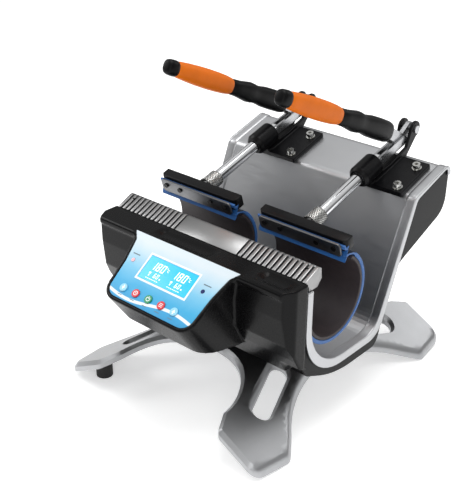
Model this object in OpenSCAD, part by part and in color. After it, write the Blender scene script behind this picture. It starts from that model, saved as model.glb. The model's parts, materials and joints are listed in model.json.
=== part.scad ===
// Double-station mug heat press: a bent metal cover over a black case, two wrap-round
// heaters, two push-pull toggle clamps and an arched four-legged base. Lengths in mm.
// X runs along the mugs' shared axis, Y to the rear, Z up, floor at zero.

/* [Heaters] */
// Radius of the mug the heater closes round
mug_r = 41; // [35:0.5:45]
// Length of each heater along the mug
heater_len = 116; // [90:1:125]
// Distance between the two stations
station_pitch = 150; // [140:1:180]
// Thickness of the dark lining
lining_t = 3.6; // [2:0.2:5]
// Thickness of the blue silicone jacket
jacket_t = 4.4; // [2:0.2:5]

/* [Body] */
// Width of the body over its end trims
body_w = 274; // [260:1:330]
// Height of the mugs' axis above the floor
axis_z = 155; // [130:1:190]
// Slope of the deck and of both clamps
deck_tilt = 16.7; // [8:0.1:20]
// Length of the deck from the crease to its rear edge
deck_len = 71.5; // [66:0.5:90]
// Thickness of the bent cover
cover_t = 2; // [1:0.5:3]
// Wall thickness of the black case
wall_t = 3; // [2:0.5:4]

/* [Front panel] */
// Slope of the control panel
panel_tilt = 35; // [25:1:45]
// Length of the panel down its slope
panel_len = 77; // [70:1:90]
// Half width of the panel at its top edge
panel_half = 75; // [70:1:90]
// Width of the display window
lcd_w = 68; // [50:1:80]
// Height of the display window
lcd_h = 28; // [20:1:34]
// Diameter of a key
key_d = 9.2; // [7:0.2:10]
// Distance between keys
key_pitch = 18.5; // [16:0.5:20]
// Travel of a key
key_travel = 1; // [0.5:0.1:1.5]

/* [Clamps] */
// Diameter of the chrome plunger
rod_d = 14; // [8:0.5:16]
// Outer diameter of the clamp barrel
barrel_d = 26; // [22:1:28]
// Diameter of the knurled collar
collar_d = 19; // [17:0.5:24]
// Length of the knurled collar
collar_len = 20; // [14:1:30]
// Length of the black pressure bar
bar_len = 116; // [90:1:125]
// Throw of the lever's crank
crank_r = 18.8; // [12:0.2:20]
// Diameter of the three pivots
pin_d = 6; // [4:0.5:7]
// Thickness of the steel lever
lever_t = 5; // [4:0.5:7]
// Length of the hand grip
grip_len = 217; // [160:1:240]
// Height of the hand grip at its rear end
grip_h = 25; // [20:1:28]
// Width of the hand grip
grip_w = 19; // [16:1:24]

/* [Base] */
// Half width of the base over its leg corners
base_half_x = 150; // [140:1:175]
// Half depth of the base over its leg tips
base_half_y = 178; // [160:1:195]
// Thickness of the base casting
base_t = 10; // [6:0.5:12]
// Downward slope of the legs
leg_slope = 28; // [18:1:32]
// Radius of a rubber foot
foot_r = 10; // [7:0.5:12]

/* [Hidden] */

run = 0.05;                       // radial clearance of a running fit
lining_r = mug_r + 2.5;           // inside radius of the lining
jacket_in = lining_r + lining_t + 0.3;
heater_r = jacket_in + jacket_t;  // outside radius of the heater
half_w = body_w / 2;
trim_x = half_w - 3;              // outer face of a cheek, inner face of a trim
cheek_x = trim_x - wall_t;        // inner face of a cheek
half_p = station_pitch / 2;
ct = cos(deck_tilt);
sn = sin(deck_tilt);

// Case section about the mug axis, in Y and Z
front_y = -(heater_r + 1.5);      // inner face of the trough's front wall
floor_z = -(heater_r + 24.2);       // trough bottom
toe_y = heater_r + 25.2;            // rear toe of the trough
bar_y = 19.1;                     // plunger axis at the pressure bar
bar_z = mug_r + 13;
deck_drop = 20.5;                 // deck surface below the plunger axis
crease_u = 116.5;                 // crease, along the plunger axis from the bar
crease = [bar_y + crease_u * ct + deck_drop * sn, bar_z + crease_u * sn - deck_drop * ct];
deck_end = [crease[0] + deck_len * ct, crease[1] + deck_len * sn];
rear_y = deck_end[0] + 2.5;
case_z = floor_z - 22;            // underside of the case
front_reach = 152;                // furthest point of the control box from the mug axis
base_c = base_half_y - 138;       // base centre behind the mug axis
axis_y = (front_reach - (base_c + base_half_y)) / 2;
// Pivots along (u) and above (w) the plunger axis, from the bar centre
wrist = [136.5, 0];
pivot = [200.5, 3.5];
knee = pivot - crank_r * [cos(17), sin(17)];
link_len = norm(knee - wrist);
tang = [160, 22];                 // where the lever leaves the grip
grip_a = 139.1;                   // grip direction in the clamp's own plane
barrel_u0 = 96;
barrel_u1 = 128;
bolt_u = [118, 157];

function unit(v) = v / norm(v);
function nrm(a, b) = let(d = unit(b - a)) [-d[1], d[0]];
// Rounded polyline through points [y, z, radius]; end points stay sharp
function corner(a, b, c, r, n) = let(p = [a[0], a[1]], q = [b[0], b[1]], s = [c[0], c[1]],
    e = unit(p - q), f = unit(s - q), h = acos(max(-1, min(1, e * f))) / 2, t = r / tan(h),
    m = q + unit(e + f) * (r / sin(h)), a0 = atan2((q + e * t - m)[1], (q + e * t - m)[0]),
    a1 = atan2((q + f * t - m)[1], (q + f * t - m)[0]), da = ((a1 - a0 + 540) % 360) - 180)
    [for (i = [0:n]) m + r * [cos(a0 + da * i / n), sin(a0 + da * i / n)]];
function rounded(v, n = 6) = [for (i = [0:len(v) - 1])
    each ((i == 0 || i == len(v) - 1 || v[i][2] == 0) ? [[v[i][0], v[i][1]]]
        : corner(v[i - 1], v[i], v[i + 1], v[i][2], n))];
// Polyline moved sideways by d, mitred at its corners
function shifted(p, d) = [for (i = [0:len(p) - 1]) let(a = nrm(p[max(i - 1, 0)], p[max(i, 1)]),
    b = nrm(p[min(i, len(p) - 2)], p[min(i + 1, len(p) - 1)]), m = unit(a + b)) p[i] + m * (d / (m * a))];
function back(p) = [for (i = [len(p) - 1:-1:0]) p[i]];
function band(p, d0, d1) = concat(shifted(p, d0), back(shifted(p, d1)));
function arc(r, a0, a1, n = 24) = [for (i = [0:n]) r * [cos(a0 + (a1 - a0) * i / n), sin(a0 + (a1 - a0) * i / n)]];

// Visible surface of the cover from the deck's rear edge to the top of the front wall
roll = 14;                        // height of the cover's rolled rear edge
cover_path = rounded([[deck_end[0] + 1, deck_end[1] - roll, 0], [deck_end[0], deck_end[1], 9], [crease[0], crease[1], 10],
    [toe_y, floor_z, 32], [front_y, floor_z, 66], [front_y, 34, 0]], 8);
// Outer surface of the black case from the deck's rear edge to the front housing
case_path = rounded([[rear_y, deck_end[1] - roll - 0.2, 0], [rear_y, 31, 24], [crease[0] - 24, -8, 30],
    [toe_y + 7, case_z, 14], [5, case_z, 140], [front_y + 8, floor_z + 1, 0]], 10);
housing_path = [[front_y - 2.5, 34], [front_y - 2.5, 41], [-87, 41], [-89.5, 39], [-89.5, 34], [-87, 32], [-87, 10],
    [-82, -22], [-71, -43], [front_y + 2, floor_z - 0.5], [front_y + 2, floor_z + 3], [front_y - 2.5, floor_z + 16]];

module yz(x0, x1, p) {
    translate([x0, 0, 0])
    rotate([90, 0, 90])
    linear_extrude(x1 - x0)
    polygon(p);
}
module at_axis() {
    translate([0, axis_y, axis_z])
    children();
}
module at_clamp(s) {
    translate([s * half_p, axis_y + bar_y, axis_z + bar_z])
    rotate([deck_tilt, 0, 0])
    children();
}
module at_panel() {
    translate([0, axis_y - 84, axis_z + 40.6])
    rotate([panel_tilt, 0, 0])
    children();
}
module xcyl(r, x0, x1, p = [0, 0]) {
    translate([x0, p[0], p[1]])
    rotate([0, 90, 0])
    cylinder(r = r, h = x1 - x0, $fn = 48);
}
module ucyl(r, u0, u1, w = 0) {
    translate([0, u0, w])
    rotate([-90, 0, 0])
    cylinder(r = r, h = u1 - u0, $fn = 64);
}
// Flat bar with round ends between two points of the clamp plane
module slab(x0, x1, p, q, w) {
    n = nrm(p, q) * w / 2;
    yz(x0, x1, [p + n, p - n, q - n, q + n]);
    xcyl(w / 2, x0, x1, p);
    xcyl(w / 2, x0, x1, q);
}

// ---- Base ----
bay_r = base_half_y * 0.45;        // front and rear bays of the base
side_r = 161;                     // side bays of the base
side_c = base_half_x + 104;
side_a = 42;
leg_quarter = concat(
    [for (i = [0:16]) [bay_r * sin(i * 5.3), base_half_y - 20 - bay_r * cos(i * 5.3)]],
    rounded([[bay_r, base_half_y - 23, 0], [bay_r + 12, base_half_y, 7], [base_half_x - 6, base_half_y, 13],
        [base_half_x, base_half_y - 50, 12], [side_c - side_r * cos(side_a), side_r * sin(side_a), 0]], 6),
    [for (i = [1:14]) [side_c - side_r * cos(side_a * (1 - i / 14)), side_r * sin(side_a * (1 - i / 14))]]);
function full_outline(q) = concat(q, [for (i = [len(q) - 2:-1:0]) [q[i][0], -q[i][1]]],
    [for (i = [1:len(q) - 1]) [-q[i][0], -q[i][1]]], [for (i = [len(q) - 2:-1:1]) [-q[i][0], q[i][1]]]);
plate_top = axis_z + case_z;
bend_x = 66;
bolt_y = [4, 26];                 // bolt rows behind the base centre, under the case's flat floor
slot_in = [base_half_x - 72, base_half_y - 116];
slot_out = [base_half_x - 51, base_half_y - 62];
foot_at = [base_half_x - 34, base_half_y - 28];
module arch(drop) {
    // Flat middle with both wings bent down along X
    fall = (base_half_x + 10 - bend_x) * tan(leg_slope);
    p = rounded([[-base_half_x - 10, plate_top - fall, 0], [-bend_x, plate_top, 60], [bend_x, plate_top, 60],
        [base_half_x + 10, plate_top - fall, 0]], 8);
    translate([0, base_half_y + 20, 0])
    rotate([90, 0, 0])
    linear_extrude(2 * base_half_y + 40)
    polygon(band(p, 0, -drop));
}
module base_plate() {
    color([0.72, 0.73, 0.74])
    translate([0, axis_y + base_c, 0])
    difference() {
        intersection() {
            arch(base_t);
            linear_extrude(plate_top + 10)
            polygon(full_outline(leg_quarter));
        }
        for (sx = [-1, 1], sy = [-1, 1])
            linear_extrude(plate_top + 20)
            polygon([for (v = concat([for (q = arc(10, 0, 180, 12)) slot_out + [q[0], q[1]]],
                [for (q = arc(10, 180, 360, 12)) slot_in + [q[0], q[1]]])) [v[0] * sx, v[1] * sy]]);
        for (sx = [-1, 1], sy = [-1, 1])
            translate([sx * foot_at[0], sy * foot_at[1], 0])
            cylinder(r = 2.6, h = plate_top, $fn = 32);
        for (sx = [-1, 1], y = bolt_y)
            translate([sx * 36, y, 0])
            cylinder(r = 2.7, h = plate_top + 20, $fn = 32);
    }
}
function under(x) = plate_top - (x - bend_x) * tan(leg_slope) - base_t / cos(leg_slope);
module rubber_feet() {
    color([0.06, 0.06, 0.06])
    translate([0, axis_y + base_c, 0])
    for (sx = [-1, 1], sy = [-1, 1])
        translate([sx * foot_at[0], sy * foot_at[1], 0])
        difference() {
            cylinder(r = foot_r, h = under(foot_at[0]) + 8, $fn = 48);
            multmatrix([[1, 0, 0, 0], [0, 1, 0, 0], [-sx * tan(leg_slope), 0, 1, under(foot_at[0]) - 0.02]])
            translate([-20, -20, 0])
            cube([40, 40, 30]);
            translate([0, 0, -1])
            cylinder(r = 4.6, h = 5.5, $fn = 32);
            cylinder(r = 2.6, h = 40, $fn = 32);
        }
}
module foot_screws() {
    color([0.6, 0.6, 0.62])
    translate([0, axis_y + base_c, 0])
    for (sx = [-1, 1], sy = [-1, 1])
        translate([sx * foot_at[0], sy * foot_at[1], 0]) {
            translate([0, 0, 1.5])
            cylinder(r = 4.4, h = 3, $fn = 32);
            translate([0, 0, 4.4])
            cylinder(r = 2.4, h = under(foot_at[0]) + 1.5 - 4.4, $fn = 32);
        }
}
module base_bolts() {
    color([0.6, 0.6, 0.62])
    translate([0, axis_y + base_c, 0])
    for (sx = [-1, 1], y = bolt_y)
        translate([sx * 36, y, plate_top - base_t]) {
            translate([0, 0, -4.05])
            cylinder(r = 4.8, h = 4, $fn = 6);
            translate([0, 0, -0.1])
            cylinder(r = 2.5, h = base_t + wall_t + 3, $fn = 32);
            translate([0, 0, base_t + wall_t + 0.05])
            cylinder(r = 4.8, h = 3.5, $fn = 6);
        }
}

// ---- Case ----
module case_tray() {
    color([0.05, 0.05, 0.055])
    difference() {
        at_axis()
        yz(-cheek_x, cheek_x, band(case_path, 0, -wall_t));
        translate([0, axis_y + base_c, 0])
        for (sx = [-1, 1], y = bolt_y)
            translate([sx * 36, y, plate_top - 5])
            cylinder(r = 2.7, h = 20, $fn = 32);
        at_axis() {
            translate([-105, rear_y - 10, 50])
            cube([30, 20, 21]);
            translate([-51.5, rear_y - 10, 49.6])
            cube([23, 20, 20.8]);
        }
    }
}
cheek_path = concat(cover_path, [[front_y - 2.2, 34], [front_y - 2.2, floor_z + 16]], back(case_path));
module cheek(s) {
    color([0.05, 0.05, 0.055])
    at_axis()
    yz(min(s * cheek_x, s * trim_x), max(s * cheek_x, s * trim_x), cheek_path);
}
module body_cover() {
    color([0.75, 0.76, 0.77])
    difference() {
        at_axis()
        yz(-cheek_x, cheek_x, band(cover_path, 0, cover_t));
        for (s = [-1, 1])
            at_clamp(s)
            for (u = bolt_u)
                translate([37, u, -deck_drop - 10])
                cylinder(r = 2.7, h = 12, $fn = 32);
    }
}
trim_top = 28.7;                  // top of a trim's front arm, under the rail
trim_edge = shifted([[deck_end[0] + 1, deck_end[1] - roll], deck_end, crease, [toe_y, floor_z], [front_y + 7, floor_z],
    [front_y + 7, trim_top]], -1.6);
trim_in = rounded([for (i = [0:5]) [trim_edge[i][0], trim_edge[i][1], [0, 10.5, 9, 30, 60, 0][i]]], 8);
trim_out = rounded([[deck_end[0] - 2.5, deck_end[1] - roll, 0], [deck_end[0] - 3, deck_end[1] - 3, 6],
    [crease[0] + 4, crease[1] - 3, 10], [toe_y + 6, floor_z - 8.5, 28], [front_y, floor_z - 8.5, 66], [front_y, trim_top, 0]], 8);
lip_path = rounded([[deck_end[0] + 0.9, deck_end[1] - roll + 1, 0], [deck_end[0], deck_end[1], 9], [crease[0], crease[1], 10],
    [toe_y, floor_z, 32], [front_y, floor_z, 66], [front_y, trim_top - 1, 0]], 8);
module trim(s) {
    color([0.8, 0.81, 0.82])
    at_axis() {
        yz(min(s * trim_x, s * half_w), max(s * trim_x, s * half_w), concat(trim_in, back(trim_out)));
        // Lip over the cover's edge
        yz(min(s * (half_w - 9), s * (trim_x + 1)), max(s * (half_w - 9), s * (trim_x + 1)), band(lip_path, -1.3, -0.05));
    }
}

// ---- Front housing and panel ----
// Right half of the panel outline grown by m, from its top edge down the slope
function panel_side(m, top) = rounded([[panel_half + m, top, 0], [panel_half + m, -1.5, 2], [panel_half - 8 + m, -9, 9],
    [panel_half - 13.5 + m, -36, 40], [panel_half - 16.5 + m, -panel_len - m, 13 + m], [0, -panel_len - m, 0]], 6);
function panel_plan(m, top) = let(r = panel_side(m, top)) concat([for (v = r) [-v[0], v[1]]], [for (i = [len(r) - 2:-1:0]) r[i]]);
box_side = [[-78, 40.6], [-84, 41.2], [-84 - (panel_len + 5.5) * cos(panel_tilt), 41.2 - (panel_len + 5.5) * sin(panel_tilt)],
    [-front_reach, -13], [-front_reach + 1, -34], [-146, -39], [-74, -52], [-62, -52], [-62, 38]];
housing_x = half_w + 1.5;
module housing_body(m) {
    at_axis()
    intersection() {
        yz(-housing_x, housing_x, housing_path);
        translate([0, 0, floor_z - 10])
        linear_extrude(160)
        polygon([[-housing_x, 0], [-housing_x, -74], [-housing_x + 10, -92], [housing_x - 10, -92], [housing_x, -74],
            [housing_x, 0]]);
    }
    intersection() {
        at_axis()
        yz(-100, 100, box_side);
        at_panel()
        translate([0, 0, -120])
        linear_extrude(130)
        polygon(panel_plan(4.5, 14));
    }
}
module front_housing() {
    color([0.03, 0.03, 0.033])
    difference() {
        housing_body();
        // Hollow behind the shelf
        at_axis()
        yz(-trim_x + 18, trim_x - 18, [[front_y - 5.5, 30], [front_y - 5.5, 34], [-82, 34], [-84, 32], [-84, 10],
            [-79, -21], [-68.5, -41], [front_y - 5.5, -55]]);
        // Hollow of the control box, under its panel face
        intersection() {
            at_axis()
            yz(-100, 100, [[-83, 35], [-85, 38.5], [-front_reach + 6, -4], [-front_reach + 4, -33], [-144, -36],
                [-74, -49], [-70, -30], [-76, -10]]);
            at_panel()
            translate([0, 0, -120])
            linear_extrude(116.4)
            polygon(panel_plan(1.5, 4));
        }
        // Recess for the overlay and the openings through the face
        at_panel() {
            translate([0, 0, -0.9])
            linear_extrude(6)
            polygon(panel_plan(0.3, 0.3));
            translate([-1 - lcd_w / 2 - 0.3, -33 - lcd_h / 2 - 0.3, -10])
            cube([lcd_w + 0.6, lcd_h + 0.6, 20]);
            for (i = [-2:2])
                translate([-4 + i * key_pitch, -64.5, -12])
                cylinder(r = key_d / 2 + 0.2, h = 20, $fn = 40);
            for (x = [-53.5, 48])
                translate([x, -32.5, -12])
                cylinder(r = 2.4, h = 20, $fn = 32);
        }
    }
}
module panel_overlay() {
    color([0.55, 0.85, 0.95])
    at_panel()
    difference() {
        translate([0, 0, -0.85])
        linear_extrude(0.8)
        polygon(panel_plan(0, 0));
        translate([-1 - lcd_w / 2 - 0.3, -33 - lcd_h / 2 - 0.3, -10])
        cube([lcd_w + 0.6, lcd_h + 0.6, 20]);
        for (i = [-2:2])
            translate([-4 + i * key_pitch, -64.5, -12])
            cylinder(r = key_d / 2 + 0.2, h = 20, $fn = 40);
        for (x = [-53.5, 48])
            translate([x, -32.5, -12])
            cylinder(r = 2.4, h = 20, $fn = 32);
    }
}
module lcd_screen() {
    color([0.1, 0.6, 0.85])
    at_panel() {
        translate([-1 - lcd_w / 2, -33 - lcd_h / 2, -4])
        cube([lcd_w, lcd_h, 3.8]);
        translate([-1 - lcd_w / 2 - 4, -33 - lcd_h / 2 - 4, -9])
        cube([lcd_w + 8, lcd_h + 8, 5]);
    }
}
module key(i) {
    at_panel()
    translate([-4 + i * key_pitch, -64.5, 0]) {
        translate([0, 0, -9])
        cylinder(r = key_d / 2, h = 10.2, $fn = 48);
        translate([0, 0, -5.2])
        cylinder(r = key_d / 2 + 1.4, h = 1.2, $fn = 48);
    }
}
module key_down() {
    color([0.6, 0.85, 0.95])
    key(-2);
}
module key_timer() {
    color([0.8, 0.15, 0.15])
    key(-1);
}
module key_power() {
    color([0.15, 0.55, 0.3])
    key(0);
}
module key_set() {
    color([0.8, 0.15, 0.15])
    key(1);
}
module key_up() {
    color([0.6, 0.85, 0.95])
    key(2);
}
module led(x) {
    at_panel()
    translate([x, -32.5, -8])
    cylinder(r = 2.2, h = 8.4, $fn = 32);
}
module heat_led() {
    color([0.9, 0.6, 0.7])
    led(-53.5);
}
module power_led() {
    color([0.08, 0.08, 0.35])
    led(48);
}
module control_board() {
    color([0.05, 0.3, 0.15])
    at_panel() {
        translate([-55, -74, -14])
        cube([110, 62, 1.6]);
        for (i = [-2:2])
            translate([-4 + i * key_pitch - 3, -67.5, -12.45])
            cube([6, 6, 2.4]);
    }
}

// ---- Front rail ----
rail_half = half_w - 2;
rail_sec = [[-57, 41.2], [-36, 51], [-31, 49], [-30, 37], [-37, 29], [-50.6, 29], [-50.6, 34.6], [-55.5, 34.6], [-55.5, 41.2]];
module front_rail() {
    color([0.78, 0.78, 0.78])
    at_axis()
    difference() {
        yz(-rail_half, rail_half, rail_sec);
        for (s = [-1, 1])
            for (i = [0:13])
                translate([s * (rail_half - 4 - i * 6.7), -57, 41.2])
                rotate([25, 0, 0])
                translate([-0.8, -2, -1])
                cube([1.6, 27, 3]);
        for (s = [-1, 1])
            translate([s * (half_w - 12.5), -40, 30])
            cylinder(r = 2.6, h = 40, $fn = 24);
    }
}
module rail_screws() {
    color([0.15, 0.15, 0.15])
    at_axis()
    for (s = [-1, 1])
        translate([s * (half_w - 12.5), -40, 0]) {
            translate([0, 0, 31])
            cylinder(r = 2.4, h = 17.9, $fn = 24);
        }
}

// ---- Rear electrics ----
module power_inlet() {
    color([0.04, 0.04, 0.04])
    at_axis()
    difference() {
        union() {
            translate([-109, rear_y, 47])
            cube([38, 2.5, 27]);
            translate([-104.8, rear_y - 24, 50.2])
            cube([29.6, 24.5, 20.6]);
        }
        translate([-102.5, rear_y - 14, 52.5])
        cube([25, 20, 16]);
    }
    color([0.7, 0.7, 0.7])
    at_axis()
    for (x = [-96.5, -90, -83.5])
        translate([x - 0.8, rear_y - 14.5, 58.5])
        cube([1.6, 13, 4]);
}
module rocker_frame() {
    color([0.04, 0.04, 0.04])
    at_axis()
    difference() {
        union() {
            translate([-54, rear_y, 48])
            cube([28, 2, 24]);
            translate([-51.3, rear_y - 16, 49.8])
            cube([22.6, 16.5, 20.4]);
        }
        translate([-49.3, rear_y - 12, 51.6])
        cube([18.6, 20, 16.8]);
    }
}
module power_rocker() {
    color([0.6, 0.05, 0.05])
    at_axis()
    intersection() {
        translate([-48.9, rear_y - 8, 54])
        cube([17.8, 14, 12]);
        translate([-48.9, rear_y - 6, 60])
        rotate([0, 90, 0])
        cylinder(r = 10.2, h = 17.8, $fn = 64);
    }
}

// ---- Heaters ----
module lining(s) {
    color([0.16, 0.12, 0.11])
    translate([s * half_p, 0, 0])
    at_axis()
    yz(-heater_len / 2 + 5, heater_len / 2 - 5, concat(arc(lining_r, 62, -184, 40), arc(lining_r + lining_t, -184, 62, 40)));
}
module jacket(s) {
    color([0.1, 0.28, 0.5])
    translate([s * half_p, 0, 0])
    at_axis() {
        yz(-heater_len / 2, heater_len / 2, concat(arc(jacket_in, 60, -180, 40), arc(heater_r, -180, 60, 40)));
        translate([-heater_len / 2, -heater_r, -0.1])
        cube([heater_len, jacket_t, 28.5]);
    }
}

// ---- Toggle clamps ----
link_gap = 0.35;                  // side play of the links
link_t = 2.5;
ear_in = lever_t / 2 + link_gap + link_t + 0.55;
ear_out = ear_in + 3.6;
module bracket(s) {
    color([0.035, 0.035, 0.037])
    at_clamp(s)
    difference() {
        union() {
            translate([-14, crease_u - 6, -deck_drop])
            cube([60, 60, 6]);
            ucyl(barrel_d / 2, barrel_u0 + 4, barrel_u1);
            translate([0, barrel_u0, 0])
            rotate([-90, 0, 0])
            cylinder(r1 = barrel_d / 2 - 3, r2 = barrel_d / 2, h = 4.01, $fn = 64);
            yz(-8, 8, [[crease_u - 6, -deck_drop + 5], [crease_u - 6, -6], [barrel_u1, -6], [barrel_u1, -deck_drop + 5]]);
            for (k = [-1, 1]) {
                yz(min(k * ear_in, k * ear_out), max(k * ear_in, k * ear_out),
                    [[barrel_u1 - 12, -deck_drop], [178, -deck_drop], [pivot[0] + 8, -1], [pivot[0] - 7, 8.5], [180, -9], [150, -11],
                    [barrel_u1 + 4, -9], [barrel_u1 - 2, -4], [barrel_u1 - 12, -4]]);
                xcyl(9.5, min(k * ear_in, k * ear_out), max(k * ear_in, k * ear_out), pivot);
            }
        }
        ucyl(rod_d / 2 + run, barrel_u0 - 1, barrel_u1 + 1);
        xcyl(pin_d / 2 + 0.02, -30, 30, pivot);
        for (u = bolt_u)
            translate([37, u, -deck_drop - 1])
            cylinder(r = 2.7, h = 10, $fn = 32);
    }
}
module bracket_washers() {
    color([0.8, 0.8, 0.8])
    for (s = [-1, 1])
        at_clamp(s)
        for (u = bolt_u)
            translate([37, u, -deck_drop + 6])
            difference() {
                cylinder(r = 5.5, h = 1.2, $fn = 40);
                translate([0, 0, -1])
                cylinder(r = 2.7, h = 4, $fn = 32);
            }
}
module bracket_bolts() {
    color([0.75, 0.75, 0.76])
    for (s = [-1, 1])
        at_clamp(s)
        for (u = bolt_u)
            translate([37, u, -deck_drop]) {
                translate([0, 0, 7.25])
                difference() {
                    cylinder(r = 4.4, h = 5, $fn = 40);
                    translate([0, 0, 2.4])
                    cylinder(r = 2.3, h = 4, $fn = 6);
                }
                translate([0, 0, -6])
                cylinder(r = 2.5, h = 13.4, $fn = 32);
            }
}
module pivot_pins() {
    color([0.8, 0.8, 0.8])
    for (s = [-1, 1])
        at_clamp(s) {
            xcyl(pin_d / 2, -ear_out - 0.5, ear_out + 0.5, pivot);
            xcyl(pin_d / 2 + 1.6, ear_out + 0.05, ear_out + 2.2, pivot);
            xcyl(pin_d / 2 + 1.6, -ear_out - 2.2, -ear_out - 0.05, pivot);
        }
}
module plunger(s) {
    color([0.85, 0.85, 0.86])
    at_clamp(s) {
            ucyl(rod_d / 2, 6.5, 130);
            intersection() {
                slab(-lever_t / 2, lever_t / 2, [122, 0], wrist, 11.6);
                ucyl(rod_d / 2, 100, 160);
            }
            xcyl(5.9, -lever_t / 2, lever_t / 2, wrist);
            // Rivets of the link's front pivot
            xcyl(pin_d / 2, -lever_t / 2 - link_gap - link_t - 0.2, lever_t / 2 + link_gap + link_t + 0.2, wrist);
    }
}
module collar(s) {
    color([0.7, 0.7, 0.71])
    at_clamp(s)
    difference() {
        union() {
            ucyl(collar_d / 2, 8, 8 + collar_len);
            ucyl(collar_d / 2 + 0.8, 8, 10);
        }
        ucyl(rod_d / 2 + run, 5, 60);
    }
}
bar_u = 6.5;                      // half thickness of the pressure bar
bar_w = 8.5;                      // bar top above the plunger axis
flap_t = 2.6;                     // heater tongue held under the plate
module bar(s) {
    color([0.04, 0.04, 0.042])
    at_clamp(s)
    difference() {
        yz(-bar_len / 2, bar_len / 2, [[-bar_u, -5.5], [bar_u - 1, -5.5], [bar_u, -4.5], [bar_u, bar_w - 3], [bar_u - 3, bar_w],
            [-bar_u, bar_w]]);
        // Chamfered ends at the front
        for (k = [-1, 1])
            translate([k * (bar_len / 2 + 3), -bar_u - 3, 0])
            rotate([0, 0, 45])
            cube([12, 12, 60], center = true);
        for (x = [-1, 1], k = [0, 1])
            translate([x * (bar_len / 2 - 12 - k * 22), 0, 0])
            ucyl(1.7, -10, -1);
    }
}
module clamp_plate(s) {
    color([0.45, 0.45, 0.46])
    at_clamp(s)
    difference() {
        yz(-bar_len / 2 + 4, bar_len / 2 - 4, [[-bar_u - flap_t - 3, -9.5], [-bar_u - flap_t - 0.1, -9.5],
            [-bar_u - flap_t - 0.1, 6.5], [-bar_u - flap_t - 3, 6.5]]);
        for (x = [-1, 1], k = [0, 1])
            translate([x * (bar_len / 2 - 12 - k * 22), 0, 0])
            ucyl(1.8, -20, 0);
        for (k = [-1, 1], t = [-9.5, 6.5])
            translate([k * (bar_len / 2 - 4), -bar_u - flap_t - 1, t])
            rotate([0, 45, 0])
            cube([5, 8, 5], center = true);
    }
}
module plate_screws(s) {
    color([0.12, 0.12, 0.12])
    at_clamp(s)
    for (x = [-1, 1], k = [0, 1])
        translate([x * (bar_len / 2 - 12 - k * 22), 0, 0]) {
            ucyl(1.6, -bar_u - flap_t - 3.4, -2);
            ucyl(2.9, -bar_u - flap_t - 4.6, -bar_u - flap_t - 3.05);
        }
}
module heat_tongue(s) {
    color([0.1, 0.28, 0.5])
    at_clamp(s)
    difference() {
        yz(-heater_len / 2 + 6, heater_len / 2 - 6, [[-bar_u - 0.05, -6], [-bar_u - 0.05, 4], [-bar_u - flap_t + 0.05, 4],
            [-bar_u - flap_t + 0.05, -7.5], [-bar_u - flap_t + 3, -10.2], [3.5, -10.2], [3.5, -8.9], [-bar_u + 1.5, -8.9]]);
        for (x = [-1, 1], k = [0, 1])
            translate([x * (bar_len / 2 - 12 - k * 22), 0, 0])
            ucyl(2, -20, 0);
    }
}
module links(s) {
    color([0.6, 0.6, 0.61])
    at_clamp(s)
    for (k = [-1, 1])
        mirror([k < 0 ? 1 : 0, 0, 0]) {
            difference() {
                slab(lever_t / 2 + link_gap, lever_t / 2 + link_gap + link_t, wrist, knee, 11);
                xcyl(pin_d / 2 + run, -30, 30, wrist);
            }
            xcyl(pin_d / 2 + 0.6, lever_t / 2 + link_gap + link_t - 0.1, lever_t / 2 + link_gap + link_t + 0.3, knee);
        }
}
lever_n = unit([(knee - tang)[1], -(knee - tang)[0]]);
module lever(s) {
    color([0.62, 0.62, 0.63])
    at_clamp(s)
    difference() {
        union() {
            slab(-lever_t / 2, lever_t / 2, tang, knee, 13);
            slab(-lever_t / 2, lever_t / 2, knee, pivot, 14.5);
            slab(-lever_t / 2, lever_t / 2, tang, tang + 70 * [cos(grip_a), sin(grip_a)], 11);
        }
        xcyl(pin_d / 2 + run, -30, 30, pivot);
    }
}
module on_grip(s) {
    // Frame with its Z axis along the grip, starting at the grip's rear end
    at_clamp(s)
    translate([0, tang[0], tang[1]])
    rotate([grip_a - 90, 0, 0])
    children();
}
sleeve_a = grip_len - 14 - 94;    // start and end of the sleeve along the grip
sleeve_b = grip_len - 14;
module flat_cone(r1, r2, z0, z1) {
    intersection() {
        translate([0, 0, z0])
        cylinder(r1 = r1, r2 = r2, h = z1 - z0, $fn = 72);
        translate([-grip_w / 2, -40, z0 - 1])
        cube([grip_w, 80, z1 - z0 + 2]);
    }
}
module grip(s) {
    color([0.03, 0.03, 0.03])
    difference() {
        on_grip(s)
        union() {
            flat_cone(grip_h / 2 - 1, grip_h / 2, 0, sleeve_a * 0.45);
            flat_cone(grip_h / 2, grip_h / 2 - 2, sleeve_a * 0.45, sleeve_a);
            cylinder(r = 6.5, h = grip_len - 2, $fn = 48);
            flat_cone(grip_h / 2 - 3, grip_h / 2 - 3.5, sleeve_b, grip_len - 4);
            flat_cone(grip_h / 2 - 3.5, grip_h / 2 - 6, grip_len - 4, grip_len);
        }
        on_grip(s)
        translate([-lever_t / 2 - 0.02, -5.52, -20])
        cube([lever_t + 0.04, 11.04, 96]);
        at_clamp(s)
        slab(-lever_t / 2 - 0.02, lever_t / 2 + 0.02, tang, knee, 13.1);
    }
}
module grip_sleeve(s) {
    color([0.9, 0.42, 0.03])
    on_grip(s)
    difference() {
        flat_cone(grip_h / 2 - 1.5, grip_h / 2 - 2.5, sleeve_a + 0.1, sleeve_b - 0.1);
        cylinder(r = 6.52, h = grip_len, $fn = 48);
    }
}
module bumper(s) {
    color([0.05, 0.05, 0.05])
    at_clamp(s)
    translate([0, tang[0] + 0.33 * (knee - tang)[0] + 6.52 * lever_n[0], tang[1] + 0.33 * (knee - tang)[1] + 6.52 * lever_n[1]])
    rotate([90 + atan2(-lever_n[1], -lever_n[0]), 0, 0])
    cylinder(r = 3, h = 3, $fn = 40);
}

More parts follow.
